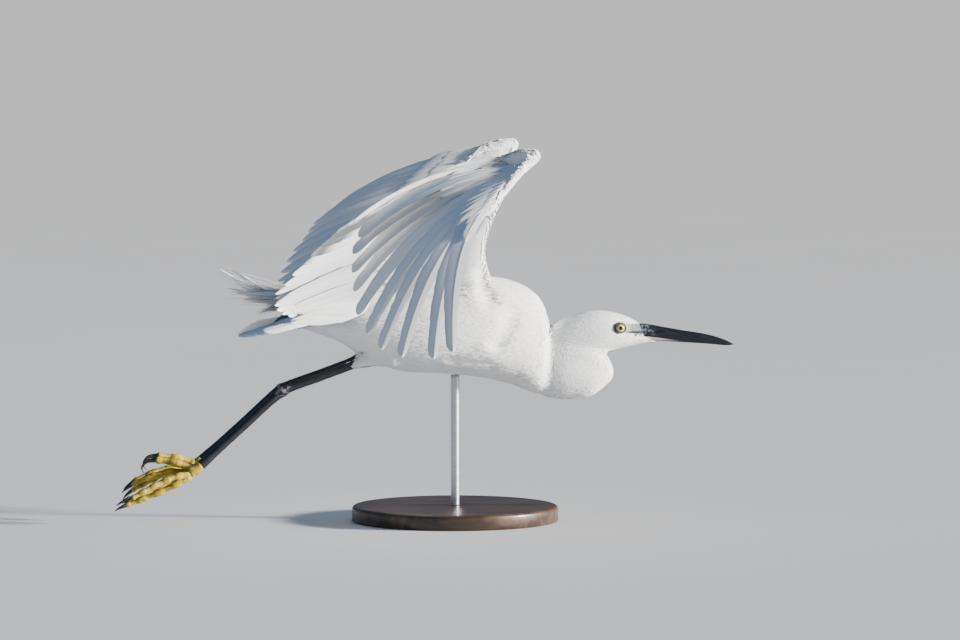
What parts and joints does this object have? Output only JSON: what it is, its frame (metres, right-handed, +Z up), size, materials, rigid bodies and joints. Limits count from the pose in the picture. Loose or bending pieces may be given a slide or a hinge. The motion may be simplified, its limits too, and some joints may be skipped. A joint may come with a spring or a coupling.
{
  "type": "little egret model on a display stand",
  "caption": "Still life-size little egret flying with raised wings, neck folded back and black legs with yellow feet trailing, on a round dark base with a steel rod.",
  "frame": {"origin": "centre of the underside of the round base", "axes": "+X is the way the bird flies, +Y is its left side and +Z is up"},
  "size_m": [0.572, 0.5872, 0.3489],
  "materials": {
    "head": "white feathers",
    "bill": "smooth black horn",
    "eye": "clear and shiny, pale yellow iris with a black pupil",
    "neck": "white feathers",
    "body": "white feathers",
    "tail": "white feathers",
    "plume": "loose white plumes",
    "wing": "white feathers",
    "leg_feathered": "short white feathers",
    "leg": "black scaled skin",
    "foot": "yellow scaled skin",
    "claw": "smooth black horn",
    "stand": "dark satin varnish",
    "stand_rod": "brushed"
  },
  "bodies": {
    "root": {"head": "head", "bill_upper": "bill", "bill_lower": "bill", "eye_left": "eye", "eye_right": "eye", "neck_loop": "neck", "neck_base": "neck", "torso": "body", "tail": "tail", "back_plumes": "plume", "wing_inner_left": "wing", "wing_outer_left": "wing", "thigh_left": "leg_feathered", "shank_left": "leg", "tarsus_left": "leg", "foot_left": "foot", "claw_hallux_left": "claw", "claw_inner_left": "claw", "claw_middle_left": "claw", "claw_outer_left": "claw", "wing_inner_right": "wing", "wing_outer_right": "wing", "thigh_right": "leg_feathered", "shank_right": "leg", "tarsus_right": "leg", "foot_right": "foot", "claw_hallux_right": "claw", "claw_inner_right": "claw", "claw_middle_right": "claw", "claw_outer_right": "claw", "stand_base": "stand", "stand_rod": "stand_rod"}
  },
  "joints": []
}
